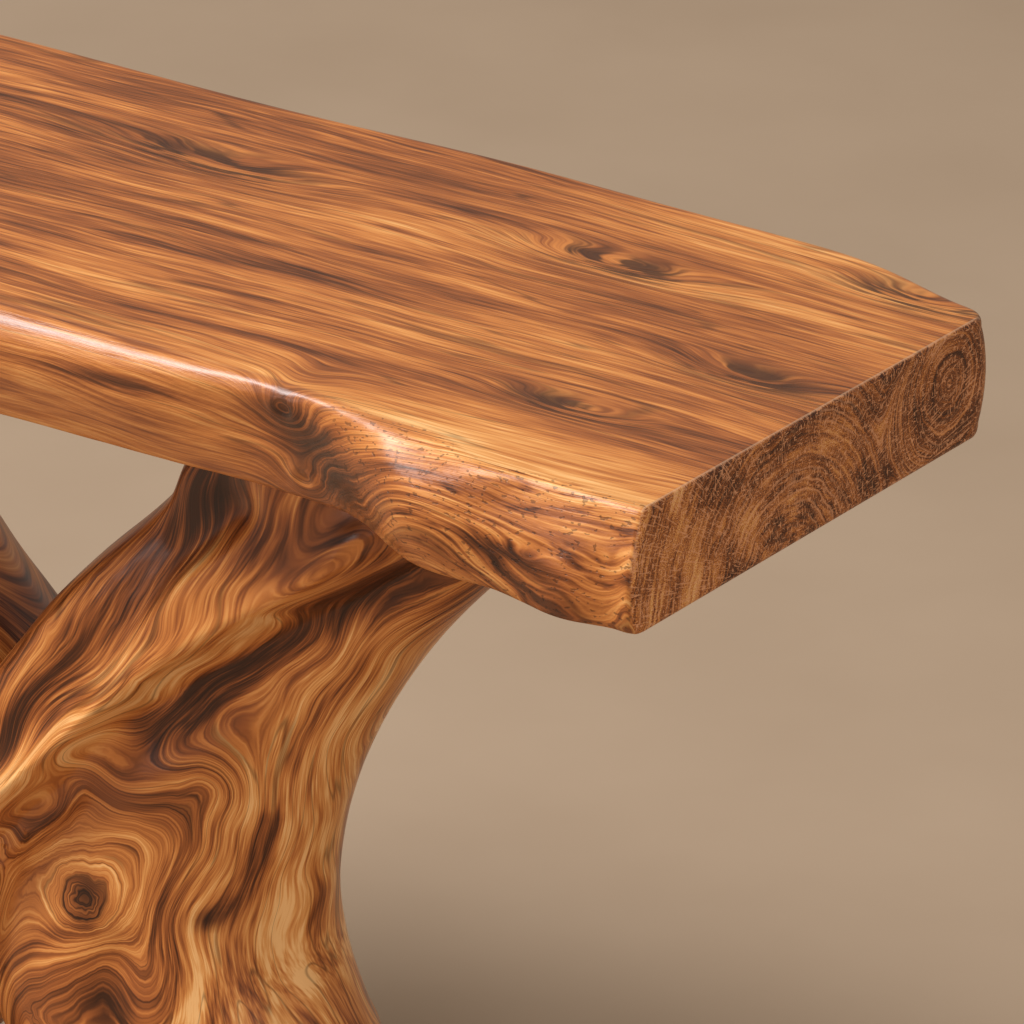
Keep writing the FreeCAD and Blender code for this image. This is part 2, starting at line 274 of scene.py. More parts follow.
# The strands of the trunk run from the arm tops to the feet: (points, radius)
STRANDS = [
    ([(0.314, -0.024, 0.685), (0.234, -0.042, 0.596), (0.088, -0.052, 0.466), (-0.032, -0.052, 0.343),
      (-0.150, -0.052, 0.212), (-0.252, -0.052, 0.089), (-0.316, -0.054, 0.0)], 0.064),
    ([(-0.350, 0.026, 0.685), (-0.284, 0.044, 0.596), (-0.130, 0.054, 0.466), (0.020, 0.054, 0.343),
      (0.142, 0.052, 0.212), (0.250, 0.050, 0.089), (0.318, 0.052, 0.0)], 0.064),
    ([(0.332, 0.012, 0.685), (0.254, 0.004, 0.575), (0.164, -0.004, 0.459), (0.115, -0.008, 0.336),
      (0.125, -0.006, 0.247), (0.226, 0.004, 0.116), (0.312, 0.008, 0.0)], 0.092),
    ([(-0.344, -0.008, 0.685), (-0.272, -0.002, 0.575), (-0.172, 0.006, 0.452), (-0.119, 0.008, 0.322),
      (-0.133, 0.004, 0.233), (-0.234, -0.006, 0.110), (-0.318, -0.010, 0.0)], 0.092),
]
STRAND_PULL = 9.0


def drawn_curve(points, steps=10):
    """A smooth line through a few points."""
    points = [np.array(point) for point in points]
    points = [2 * points[0] - points[1], *points, 2 * points[-1] - points[-2]]
    line = []
    for a, b, c, d in zip(points, points[1:], points[2:], points[3:]):
        for i in range(steps):
            t = i / steps
            line.append(b + t * (c - a) / 2 + t ** 2 * (a - 2.5 * b + 2 * c - d / 2)
                        + t ** 3 * (1.5 * b - 1.5 * c + d / 2 - a / 2))
    return line + [points[-2]]


def evened(piece, values, rounds):
    """Values on the piece's vertices, each averaged with its neighbours for some rounds."""
    ends = np.empty(len(piece.data.edges) * 2, dtype=int)
    piece.data.edges.foreach_get("vertices", ends)
    a, b = ends.reshape(-1, 2).T
    count = np.bincount(ends, minlength=len(values))
    for _ in range(rounds):
        for column in values.T:
            total = np.bincount(a, column[b], len(column)) + np.bincount(b, column[a], len(column))
            column[:] = 0.5 * column + 0.5 * total / count
    return values


def grain_of(places):
    """Grain of the trunk at each place: across its strand, in depth, and along it."""
    total = np.zeros(len(places))
    grain = np.zeros_like(places)
    for strand, radius in STRANDS:
        away, near, run, heading = along_line(places, drawn_curve(strand))
        weight = np.exp(-STRAND_PULL * (away / radius) ** 2) + 1e-12
        side = np.cross(heading, (0.0, 1.0, 0.0))
        side /= np.linalg.norm(side, axis=1)[:, None]
        offset = places - near
        grain[:, 0] += weight * np.sum(offset * side, axis=1)
        grain[:, 1] += weight * offset[:, 1]
        grain[:, 2] += weight * run
        total += weight
    return grain / total[:, None]


# Lines along the grain round the knot and down the ridge: (layer of the wood, points)
GRAIN_LINES = [
    (-0.055, [(0.200, -0.035, 0.650), (0.160, -0.044, 0.605), (0.117, -0.047, 0.571), (0.080, -0.050, 0.538),
              (0.044, -0.052, 0.506), (-0.016, -0.052, 0.445)]),
    (0.030, [(-0.032, -0.115, 0.343), (-0.100, -0.115, 0.268)]),
    (0.000, [(0.226, -0.070, 0.667), (0.202, -0.073, 0.634), (0.166, -0.101, 0.578), (0.138, -0.113, 0.531),
             (0.098, -0.114, 0.482), (0.073, -0.113, 0.450)]),
    (0.020, [(0.289, -0.095, 0.685), (0.253, -0.096, 0.641), (0.232, -0.106, 0.603), (0.196, -0.112, 0.560),
             (0.144, -0.105, 0.493), (0.068, -0.107, 0.417)]),
    (0.033, [(0.336, -0.081, 0.679), (0.323, -0.098, 0.663), (0.285, -0.098, 0.627), (0.245, -0.100, 0.585),
             (0.203, -0.098, 0.544)]),
    (0.045, [(0.389, -0.075, 0.677), (0.366, -0.083, 0.656), (0.317, -0.089, 0.613), (0.257, -0.086, 0.566),
             (0.209, -0.078, 0.528), (0.166, -0.078, 0.489)]),
    (0.065, [(0.400, -0.030, 0.649), (0.377, -0.039, 0.627), (0.344, -0.049, 0.601), (0.280, -0.067, 0.563),
             (0.218, -0.076, 0.511)]),
    (0.062, [(0.156, -0.081, 0.464)]),
    (0.054, [(0.107, -0.080, 0.422)]),
    (0.085, [(0.393, -0.010, 0.624), (0.378, -0.019, 0.611), (0.350, -0.035, 0.590), (0.296, -0.055, 0.551),
             (0.258, -0.063, 0.517), (0.216, -0.074, 0.482)]),
    (0.079, [(0.179, -0.081, 0.458)]),
    (0.072, [(0.139, -0.083, 0.430)]),
    (0.062, [(0.088, -0.082, 0.390)]),
    (0.052, [(0.035, -0.069, 0.345)]),
    (0.088, [(0.235, -0.065, 0.480), (0.241, -0.060, 0.469)]),
    (0.083, [(0.223, -0.063, 0.438), (0.209, -0.066, 0.409), (0.197, -0.069, 0.374), (0.179, -0.078, 0.342),
             (0.169, -0.088, 0.277)]),
    (0.060, [(0.202, -0.073, 0.436), (0.192, -0.073, 0.395), (0.165, -0.084, 0.337)]),
    (0.040, [(0.074, -0.083, 0.359), (0.119, -0.087, 0.388), (0.153, -0.085, 0.397), (0.164, -0.083, 0.382),
             (0.157, -0.085, 0.357), (0.142, -0.089, 0.333)]),
    (0.020, [(0.096, -0.090, 0.340), (0.119, -0.088, 0.367), (0.142, -0.088, 0.359), (0.137, -0.090, 0.339),
             (0.120, -0.092, 0.326)]),
    (0.000, [(0.119, -0.090, 0.346)]),
    (0.036, [(0.060, -0.086, 0.325)]),
    (0.046, [(0.030, -0.080, 0.300)]),
    (0.049, [(0.041, -0.079, 0.276), (0.078, -0.090, 0.308)]),
    (0.060, [(0.037, -0.075, 0.247), (0.085, -0.092, 0.291), (0.125, -0.093, 0.313), (0.154, -0.089, 0.310)]),
    (0.085, [(0.133, -0.095, 0.273)]),
    (0.102, [(0.290, -0.046, 0.528), (0.259, -0.051, 0.485), (0.242, -0.053, 0.456), (0.228, -0.050, 0.411),
             (0.215, -0.055, 0.374), (0.205, -0.063, 0.355), (0.199, -0.070, 0.315), (0.194, -0.078, 0.280)]),
    (0.130, [(0.308, -0.034, 0.537), (0.264, -0.037, 0.472), (0.244, -0.028, 0.416), (0.231, -0.032, 0.369),
             (0.226, -0.040, 0.335), (0.225, -0.056, 0.280)]),
    (0.160, [(0.375, 0.025, 0.630), (0.340, 0.015, 0.570), (0.294, -0.005, 0.506), (0.245, 0.013, 0.413),
             (0.230, 0.014, 0.348), (0.239, -0.003, 0.310), (0.249, -0.008, 0.274)]),
    (0.205, [(0.360, 0.070, 0.630), (0.325, 0.062, 0.570), (0.275, 0.050, 0.510), (0.222, 0.062, 0.413),
             (0.208, 0.064, 0.348), (0.222, 0.056, 0.280)]),
]
SQUASH = np.array((1.0, 0.35, 1.0))
GRAIN_EASE = 2e-6
GRAIN_REACH = 0.030
GRAIN_FADE = 0.045


def cubed_distance(places, point):
    return np.linalg.norm((places - point) * SQUASH, axis=1) ** 3


def drawn_grain(places, plain):
    """The plain layers bent so that they follow the grain lines, plain again away from them."""
    points = np.array([point for layer, line in GRAIN_LINES for point in line])
    aims = np.array([layer for layer, line in GRAIN_LINES for point in line])
    gap = np.full(len(places), np.inf)
    at_points = []
    for point in points:
        away = np.linalg.norm(places - point, axis=1)
        at_points.append(plain[np.argmin(away)])
        gap = np.minimum(gap, away)
    bend = aims - np.array(at_points)
    bend -= bend.mean()
    count = len(points)
    matrix = np.zeros((count + 4, count + 4))
    matrix[:count, :count] = np.stack([cubed_distance(points, point) for point in points])
    matrix[:count, :count] += GRAIN_EASE * np.eye(count)
    matrix[:count, count] = 1.0
    matrix[:count, count + 1:] = points * SQUASH
    matrix[count:, :count] = matrix[:count, count:].T
    weights = np.linalg.solve(matrix, np.concatenate([bend, np.zeros(4)]))
    total = weights[count] + places * SQUASH @ weights[count + 1:]
    for point, weight in zip(points, weights):
        total += weight * cubed_distance(places, point)
    return plain + total * np.exp(-(np.maximum(gap - GRAIN_REACH, 0.0) / GRAIN_FADE) ** 2)


EVENING_ROUNDS = 40
DEPTH_SLOPE = 0.25
RUN_SLOPE = 0.10
grain = evened(trunk, grain_of(places), EVENING_ROUNDS)
grain[:, 0] = drawn_grain(places, grain[:, 0] + DEPTH_SLOPE * grain[:, 1]) - RUN_SLOPE * grain[:, 2]
attribute = trunk.data.attributes.new("grain", "FLOAT_VECTOR", "POINT")
attribute.data.foreach_set("vector", grain.reshape(-1))

# Light and dark strips of tone, each along a line on the trunk: (points, half width, change of tone).
# Some are the wood's own streaks, grain lines and rings by the knot. The rest are painted light:
# painted shade in the furrows, the undercut and the hollow, a painted shadow of the slab on the top of
# the right arm, and painted highlights on the ridges and the right flank. The furrow and undercut
# strips also carry darker grain.
TRUNK_GRAIN_AND_PAINTED_LIGHT_BANDS = [
    # Painted shade in the furrow along the front limb, over darker grain
    ([(0.235, -0.080, 0.660), (0.166, -0.101, 0.578), (0.138, -0.113, 0.531), (0.073, -0.113, 0.450),
      (0.000, -0.110, 0.375)], 0.014, -0.30),
    # Painted shade in the undercut below the crest, over darker grain
    ([(0.344, -0.049, 0.601), (0.280, -0.067, 0.563), (0.218, -0.076, 0.511), (0.156, -0.081, 0.464)],
     0.014, -0.40),
    # Painted highlights along the crest and beside it
    ([(0.257, -0.086, 0.566), (0.200, -0.088, 0.525), (0.133, -0.090, 0.465), (0.061, -0.099, 0.398),
      (-0.040, -0.100, 0.300)], 0.015, 0.34),
    ([(0.253, -0.096, 0.641), (0.196, -0.112, 0.560), (0.144, -0.105, 0.493), (0.068, -0.107, 0.417),
      (-0.020, -0.105, 0.330)], 0.014, 0.18),
    # The wood's own tone by the knot, a light streak and dark grain lines
    ([(0.204, -0.073, 0.430), (0.165, -0.083, 0.390), (0.119, -0.090, 0.346)], 0.034, 0.07),
    ([(0.121, -0.091, 0.349), (0.116, -0.091, 0.342)], 0.013, -0.20),
    ([(0.200, -0.072, 0.335), (0.190, -0.078, 0.280)], 0.010, 0.28),
    ([(0.229, -0.050, 0.413), (0.215, -0.055, 0.362), (0.196, -0.070, 0.344)], 0.006, -0.30),
    ([(0.041, -0.079, 0.270), (0.078, -0.090, 0.306), (0.120, -0.092, 0.326)], 0.007, -0.32),
    # Painted shade in the hollow low on the front limb
    ([(0.133, -0.095, 0.273), (0.140, -0.094, 0.240)], 0.016, -0.34),
    # Painted shadow of the slab on the top of the right arm
    ([(0.215, -0.095, 0.632), (0.265, -0.100, 0.622), (0.320, -0.092, 0.640)], 0.026, -0.34),
    # Painted light on the right flank
    ([(0.308, -0.034, 0.537), (0.252, -0.034, 0.445), (0.228, -0.036, 0.350), (0.232, -0.040, 0.280)],
     0.036, 0.26),
    # Painted shade in the furrow of the left limb, then a painted highlight on its ridge
    ([(-0.310, -0.060, 0.620), (-0.210, -0.078, 0.500), (-0.150, -0.080, 0.400)], 0.014, -0.30),
    ([(-0.240, -0.110, 0.130), (-0.150, -0.110, 0.240), (-0.090, -0.105, 0.320)], 0.016, 0.16),
    # Painted shade in the furrow at the back
    ([(0.250, 0.100, 0.180), (0.160, 0.110, 0.270), (0.080, 0.112, 0.350), (-0.040, 0.110, 0.450)],
     0.015, -0.30),
]
bands = np.zeros(len(places))
for line, half_width, change in TRUNK_GRAIN_AND_PAINTED_LIGHT_BANDS:
    away = along_line(places * SQUASH, np.array(line) * SQUASH)[0]
    bands += change * np.exp(-(away / half_width) ** 2)
attribute = trunk.data.attributes.new("bands", "FLOAT", "POINT")
attribute.data.foreach_set("value", bands)


def srgb(red, green, blue):
    """A colour as seen on screen, from 0 to 255, as linear light."""
    shares = [level / 255 for level in (red, green, blue)]
    linear = [share / 12.92 if share <= 0.04 else ((share + 0.055) / 1.055) ** 2.4 for share in shares]
    return (*linear, 1.0)


class Value:
    """One value in a material: arithmetic between values adds the Math nodes that work it out."""

    def __init__(self, socket):
        self.socket = socket

    def node(self, kind, settings, sockets, output=0):
        """Any node: its settings first, with a ramp's stops, then the values or links of its sockets."""
        tree = self.socket.id_data
        node = tree.nodes.new(kind)
        for key, value in settings.items():
            if key == "stops":
                ramp = node.color_ramp.elements
                while len(ramp) < len(value):
                    ramp.new(1.0)
                for element, (position, colour) in zip(ramp, value):
                    element.position = position
                    element.color = colour
            else:
                setattr(node, key, value)
        for key, value in sockets.items():
            if isinstance(value, Value):
                tree.links.new(value.socket, node.inputs[key])
            else:
                node.inputs[key].default_value = value
        return Value(node.outputs[output])

    def maths(self, operation, *values):
        return self.node("ShaderNodeMath", {"operation": operation}, dict(enumerate(values)))

    def __add__(self, other):
        return self.maths("ADD", self, other)

    def __radd__(self, other):
        return self.maths("ADD", other, self)

    def __sub__(self, other):
        return self.maths("SUBTRACT", self, other)

    def __rsub__(self, other):
        return self.maths("SUBTRACT", other, self)

    def __mul__(self, other):
        return self.maths("MULTIPLY", self, other)

    def __rmul__(self, other):
        return self.maths("MULTIPLY", other, self)

    def __pow__(self, other):
        return self.maths("POWER", self, other)

    def __rpow__(self, other):
        return self.maths("POWER", other, self)

    def __abs__(self):
        return self.maths("ABSOLUTE", self)

    def part(self, axis):
        return self.node("ShaderNodeSeparateXYZ", {}, {0: self}, output=axis)

    def rise(self, low, high):
        """0 below low and 1 above high, smooth between."""
        settings = {"interpolation_type": "SMOOTHSTEP"}
        return self.node("ShaderNodeMapRange", settings, {0: self, 1: low, 2: high})

    def speckle(self, x, y, z, detail=2.0, rough=0.5):
        """Noise from 0 to 1 at a place given by three values."""
        place = self.node("ShaderNodeCombineXYZ", {}, {0: x, 1: y, 2: z})
        sockets = {"Vector": place, "Scale": 1.0, "Detail": detail, "Roughness": rough}
        return self.node("ShaderNodeTexNoise", {}, sockets)

    def tinted(self, other, share):
        """This colour mixed with another by a share."""
        return self.node("ShaderNodeMix", {"data_type": "RGBA"}, {0: share, 6: self, 7: other}, output=2)

    def shaded(self, amount):
        """This colour multiplied by an amount of light from 0 to 1."""
        grey = self.node("ShaderNodeCombineColor", {}, {0: amount, 1: amount, 2: amount})
        settings = {"data_type": "RGBA", "blend_type": "MULTIPLY"}
        return self.node("ShaderNodeMix", settings, {0: 1.0, 6: self, 7: grey}, output=2)

    def bump(self, depth, strength=1.0):
        return self.node("ShaderNodeBump", {}, {"Strength": strength, "Distance": depth, "Height": self})


def new_finish(name):
    """A new material, its shader node and the place on the piece as a value."""
    material = bpy.data.materials.new(name)
    material.use_nodes = True
    nodes = material.node_tree.nodes
    shader = nodes["Principled BSDF"]
    place = Value(nodes.new("ShaderNodeTexCoord").outputs["Object"])
    return material, shader, place


def feed(shader, **sockets):
    """Sets or links sockets of a shader, named with _ for spaces."""
    for key, value in sockets.items():
        socket = shader.inputs[key.replace("_", " ")]
        if isinstance(value, Value):
            shader.id_data.links.new(value.socket, socket)
        else:
            socket.default_value = value


def eye(place, centre, reach, turn=(0.0, 0.0, 0.0)):
    """A soft blob of 1 at a centre, fading with its reach on three turned axes."""
    moved = place.node("ShaderNodeVectorMath", {"operation": "SUBTRACT"}, {0: place, 1: centre})
    settings = {"rotation_type": "EULER_XYZ"}
    turned = moved.node("ShaderNodeVectorRotate", settings, {"Vector": moved, "Rotation": turn})
    scaled = turned.node("ShaderNodeVectorMath", {"operation": "DIVIDE"}, {0: turned, 1: reach})
    settings = {"operation": "DOT_PRODUCT"}
    squared = scaled.node("ShaderNodeVectorMath", settings, {0: scaled, 1: scaled}, output=1)
    return math.e ** (0.0 - squared)


WOOD_STOPS = [
    (0.0, srgb(54, 25, 9)),
    (0.22, srgb(92, 46, 18)),
    (0.44, srgb(146, 80, 36)),
    (0.64, srgb(188, 115, 55)),
    (0.84, srgb(214, 148, 82)),
    (1.0, srgb(232, 178, 116)),
]


def streaked(layer, run, width, stretch, offset, detail=2.0):
    """Noise from -0.5 to 0.5 in streaks of a width, drawn out along the grain."""
    return layer.speckle(layer * (1 / width), run * (1 / (width * stretch)), offset, detail, 0.55) - 0.5


trunk_wood, trunk_shader, place = new_finish("trunk_wood")
grain = place.node("ShaderNodeAttribute", {"attribute_name": "grain"}, {}, output=1)
bands = place.node("ShaderNodeAttribute", {"attribute_name": "bands"}, {}, output=2)
across = grain.part(0)
depth = grain.part(1)
run = grain.part(2)
wander = place.speckle(across * 9.0, depth * 9.0, run * 3.0, 2.0) - 0.5
ripple = place.speckle(across * 40.0, depth * 30.0, run * 14.0, 2.0) - 0.5
knot_core = eye(place, (0.119, -0.092, 0.347), (0.010, 0.03, 0.012))
dark_knot = eye(place, (0.196, -0.070, 0.344), (0.009, 0.03, 0.007), (0.0, 0.8, 0.0))
knot_wood = eye(place, (0.119, -0.092, 0.347), (0.036, 0.06, 0.036))
twist = place.speckle(place.part(0) * 55.0, place.part(1) * 20.0, place.part(2) * 55.0, 2.0) - 0.5
layer = across + wander * 0.004 + ripple * 0.0008 + knot_wood * twist * 0.020
broad = streaked(layer, run, 0.022, 12.0, 0.0)
streak = streaked(layer, run, 0.0075, 18.0, 7.0, 3.0)
thread = streaked(layer, run, 0.0026, 26.0, 3.0, 2.0)
fibre = streaked(layer, run, 0.0009, 34.0, 9.0, 1.0)
# The tone takes the wood's streaks, painted shade and painted highlights from the trunk's strips
tone = 0.49 + broad * 1.35 + streak * 1.15 + thread * 0.95 + fibre * 0.7 + bands
line = 1 - abs(streaked(layer, run, 0.013, 20.0, 5.0, 1.0)).rise(0.0, 0.020)
colour = tone.node("ShaderNodeValToRGB", {"stops": WOOD_STOPS}, {0: tone})
colour = colour.shaded(1 - line * 0.45)
colour = colour.shaded(1 - knot_core * 0.65)
colour = colour.shaded(1 - dark_knot * 0.6)
feed(trunk_shader, Base_Color=colour, Roughness=0.33 + thread * 0.2, IOR=1.5)
trunk_shader.inputs["Specular IOR Level"].default_value = 0.32
trunk_shader.inputs["Coat Weight"].default_value = 0.06
trunk_shader.inputs["Coat Roughness"].default_value = 0.14
feed(trunk_shader, Normal=(thread + fibre).bump(0.0002, 0.5))
trunk.data.materials.append(trunk_wood)
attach(trunk, "root")
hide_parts("trunk_base")


# Felt pads: four discs of pressed wool felt, two under each foot, so that the base doesn't scratch the floor.
# They are punched from a sheet and stuck to the flat of the foot.
def dress(names, finish):
    """Gives a finish to pieces whose shape stays as it is."""
    for name in names:
        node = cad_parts[name]
        if not node.material_slots:
            node.data.materials.append(None)
        node.material_slots[0].link = "OBJECT"
        node.material_slots[0].material = finish


felt, felt_shader, place = new_finish("pad_felt")
fuzz = place.node("ShaderNodeTexNoise", {}, {"Vector": place, "Scale": 700.0, "Detail": 3.0})
tuft = place.node("ShaderNodeTexNoise", {}, {"Vector": place, "Scale": 90.0, "Detail": 2.0})
stops = [(0.3, srgb(90, 71, 59)), (0.7, srgb(126, 103, 88))]
feed(felt_shader, Base_Color=fuzz.node("ShaderNodeValToRGB", {"stops": stops}, {0: fuzz * 0.6 + tuft * 0.4}))
feed(felt_shader, Roughness=0.95, Normal=fuzz.bump(0.0004, 0.8))
PADS = ["front_right_felt_pad", "rear_right_felt_pad", "front_left_felt_pad", "rear_left_felt_pad"]
dress(PADS, felt)


# Top plates: flat steel with a matt black powder coat, one let flush into each arm, with a slotted ear past
# the arm at front and back. The coat has a fine peel and is a little worn to grey.
plate_steel, plate_shader, place = new_finish("plate_steel")
peel = place.node("ShaderNodeTexNoise", {}, {"Vector": place, "Scale": 900.0, "Detail": 2.0})
wear = place.node("ShaderNodeTexNoise", {}, {"Vector": place, "Scale": 45.0, "Detail": 3.0})
stops = [(0.3, srgb(42, 42, 43)), (0.7, srgb(56, 56, 58))]
feed(plate_shader, Base_Color=wear.node("ShaderNodeValToRGB", {"stops": stops}, {0: wear * 0.7 + peel * 0.3}))
feed(plate_shader, Roughness=0.52 + wear * 0.16, Normal=peel.bump(0.0001, 0.5))
dress(["right_top_plate", "left_top_plate"], plate_steel)


# Plate screws: four countersunk wood screws, plated with yellow zinc, hold each plate down in its recess.
# They bite into the arm top under the plate.
def metal(name, dark, light, roughness):
    """A metal finish: fine scratches over a slow mottle."""
    finish, shader, place = new_finish(name)
    scratch = place.node("ShaderNodeTexNoise", {}, {"Vector": place, "Scale": 2600.0, "Detail": 2.0})
    mottle = place.node("ShaderNodeTexNoise", {}, {"Vector": place, "Scale": 60.0, "Detail": 3.0})
    stops = [(0.3, dark), (0.7, light)]
    share = scratch * 0.5 + mottle * 0.5
    feed(shader, Base_Color=share.node("ShaderNodeValToRGB", {"stops": stops}, {0: share}))
    feed(shader, Metallic=1.0, Roughness=roughness + (scratch - 0.5) * 0.2, Normal=scratch.bump(0.00003, 0.5))
    return finish


screw_zinc = metal("screw_zinc", srgb(190, 180, 150), srgb(218, 212, 192), 0.30)
dress(["right_plate_screws", "left_plate_screws"], screw_zinc)


# Slab top: one thick plank sawn through the log, with its natural edges kept at front and back. The top is
# planed flat and oiled to a satin, the ends are sawn square and eased, and the front edge is debarked and
# sanded, so that its swells, hollows and knots stay.
SLAB_LOW, SLAB_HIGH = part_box("slab_top")
SLAB_COLUMNS = 440
SLAB_ACROSS = 30
RIM_STEPS = [0.0004, 0.0013, 0.0028, 0.005, 0.0078, 0.011, 0.0142, 0.0174, 0.0208, 0.0242, 0.0276, 0.031,
             0.0343]
END_STEPS = [0.0, 0.0005, 0.0012, 0.0022, 0.0034, 0.005, 0.007, 0.0095, 0.0125, 0.016, 0.020]
slab_thickness = SLAB_HIGH.z - SLAB_LOW.z
upper_steps = [slab_thickness - step for step in RIM_STEPS[::-1]]
levels = [0.0] + RIM_STEPS + [slab_thickness / 2] + upper_steps + [slab_thickness]

bpy.ops.object.select_all(action="DESELECT")
bpy.ops.mesh.primitive_grid_add(x_subdivisions=SLAB_COLUMNS, y_subdivisions=SLAB_ACROSS, size=2.0,
                                location=(0, 0, 0))
slab = bpy.context.active_object
slab.name = "live_edge_slab"
start_edit()
for below, above in zip(levels, levels[1:]):
    bpy.ops.mesh.extrude_region_move(TRANSFORM_OT_translate={"value": (0, 0, above - below)})
bpy.ops.mesh.select_all(action="SELECT")
bpy.ops.mesh.normals_make_consistent(inside=False)
end_edit()

tree = BVHTree.FromObject(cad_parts["slab_top"], bpy.context.evaluated_depsgraph_get())
SOLID_RIM = 0.0075
SOLID_END = 0.003


def edge_at(x, z, side):
    """Y of the slab's front (-1) or back (1) edge at x and z, clear of its bevelled rims and ends."""
    x = min(max(x, SLAB_LOW.x + SOLID_END), SLAB_HIGH.x - SOLID_END)
    z = min(max(z, SLAB_LOW.z + SOLID_RIM), SLAB_HIGH.z - SOLID_RIM)
    hit = tree.ray_cast(Vector((x, side, z)), Vector((0, -side, 0)))[0]
    return hit.y


def rounded(distance, radius):
    """How far a rounded edge stands back at a distance from its corner."""
    lack = np.clip(radius - distance, 0, radius)
    return radius - np.sqrt(np.maximum(radius ** 2 - lack ** 2, 0))


places = points_of(slab)
share_x = np.round((places[:, 0] + 1) / 2 * SLAB_COLUMNS).astype(int)
share_y = (places[:, 1] + 1) / 2
height = places[:, 2]
half = SLAB_HIGH.x
inner = np.linspace(-half + END_STEPS[-1], half - END_STEPS[-1], SLAB_COLUMNS + 3 - 2 * len(END_STEPS))
left_end = [-half + step for step in END_STEPS[:-1]]
right_end = [half - step for step in END_STEPS[-2::-1]]
stations = np.concatenate([left_end, inner, right_end])
x = stations[share_x]
z = SLAB_LOW.z + height
level_of = np.array([np.argmin(np.abs(np.array(levels) - h)) for h in height])
front = np.zeros((len(stations), len(levels)))
back = np.zeros((len(stations), len(levels)))
for i, station in enumerate(stations):
    for k, level in enumerate(levels):
        front[i, k] = edge_at(station, SLAB_LOW.z + level, -1)
        back[i, k] = edge_at(station, SLAB_LOW.z + level, 1)


def swell(x, middle, half_length):
    return np.exp(-((x - middle) / half_length) ** 2)


# The front rim is a broad roll over the large swell by the right end and a narrow one elsewhere. The front
# corners of the sawn ends are rounder towards the underside.
PLAIN_RIM = 0.0065
FOOT_RIM = 0.0095
BACK_RIM = 0.006
BACK_CORNER = 0.016
END_ROUND = 0.0032
FOOT_CORNER = 0.009
top_rim = PLAIN_RIM + 0.0185 * swell(x, 0.445, 0.034) + 0.009 * swell(x, 0.14, 0.15)
below_top = SLAB_HIGH.z - z
above_foot = z - SLAB_LOW.z
from_end = half - np.abs(x)
end_inset = rounded(from_end, END_ROUND)
depth_share = np.clip(below_top / slab_thickness, 0, 1)
front_corner = END_ROUND + FOOT_CORNER * depth_share ** 2
front_inset = rounded(below_top, top_rim) + rounded(above_foot, FOOT_RIM) + rounded(from_end, front_corner)
back_inset = rounded(below_top, BACK_RIM) + rounded(above_foot, BACK_RIM) + rounded(from_end, BACK_CORNER)
FRONT_KNOTS = [(0.334, 0.7465, 0.0085), (0.341, 0.703, 0.0080), (-0.130, 0.722, 0.0090)]


def front_relief(x, z):
    """How far hollows, ripples and knots of the debarked front edge stand in from its plain form."""
    spots = np.stack([x, np.zeros_like(x), z], axis=1)
    rough = 0.35 + swell(x, 0.335, 0.07) + 0.6 * swell(x, 0.52, 0.06) + 0.7 * swell(x, -0.12, 0.10)
    inward = 0.0040 * swell(x, 0.335, 0.045) * swell(z, 0.728, 0.022)
    inward += 0.0012 * rough * soft_noise(spots, (20.0, 1.0, 75.0), 5.0)
    inward += 0.0006 * rough * soft_noise(spots, (55.0, 1.0, 170.0), 11.0)
    for knot_x, knot_z, size in FRONT_KNOTS:
        away = np.hypot(x - knot_x, (z - knot_z) * 1.15) / size
        inward += 0.0022 * np.exp(-(away * 2.2) ** 2) - 0.0016 * np.exp(-((away - 1.0) * 2.6) ** 2)
    return inward


# The lower front corner leans out towards the right end
LEAN_FROM = 0.480
LEAN_TO = 0.565
LEAN_OUT = 0.013
lean_share = np.clip((x - LEAN_FROM) / (LEAN_TO - LEAN_FROM), 0, 1)
lean = LEAN_OUT * lean_share ** 2 * (3 - 2 * lean_share) * depth_share ** 1.3
front_y = front[share_x, level_of] + front_inset + front_relief(x, z) - lean
back_y = back[share_x, level_of] - back_inset
cluster = 0.5 - 0.5 * np.cos(math.pi * share_y)
y = front_y + (back_y - front_y) * cluster
mid = SLAB_LOW.z + slab_thickness / 2
squeeze = 1 - end_inset / (slab_thickness / 2)
z = mid + (z - mid) * squeeze
put_points(slab, np.stack([x, y, z], axis=1))
attribute = slab.data.attributes.new("edge", "FLOAT", "POINT")
attribute.data.foreach_set("value", y - front_y)

# Stepped holes for the inserts in the underside
INSERT_FLANGE_RADIUS = 0.0077
INSERT_RADIUS = 0.0065
INSERT_FLANGE_DEPTH = 0.0015
INSERT_FIT = 0.0001
FLANGE_OVERRUN = 0.010
BODY_OVERRUN = 0.008
flanges = []
bodies = []
for node in ("right_slab_inserts", "left_slab_inserts"):
    low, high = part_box(node)
    mid_x = (low.x + high.x) / 2
    for hole_y in (low.y + INSERT_FLANGE_RADIUS, high.y - INSERT_FLANGE_RADIUS):
        flange_low = low.z - FLANGE_OVERRUN
        flange_top = low.z + INSERT_FLANGE_DEPTH
        flanges.append(add_peg(mid_x, hole_y, flange_low, flange_top, INSERT_FLANGE_RADIUS + INSERT_FIT))
        bodies.append(add_peg(mid_x, hole_y, low.z - BODY_OVERRUN, high.z, INSERT_RADIUS + INSERT_FIT))
cut_away(slab, flanges)
cut_away(slab, bodies)
make_active(slab)
bpy.ops.object.shade_smooth_by_angle(angle=math.radians(50))

slab_wood, slab_shader, place = new_finish("slab_wood")
x = place.part(0)
y = place.part(1)
z = place.part(2)
edge = place.node("ShaderNodeAttribute", {"attribute_name": "edge"}, {}, output=2)

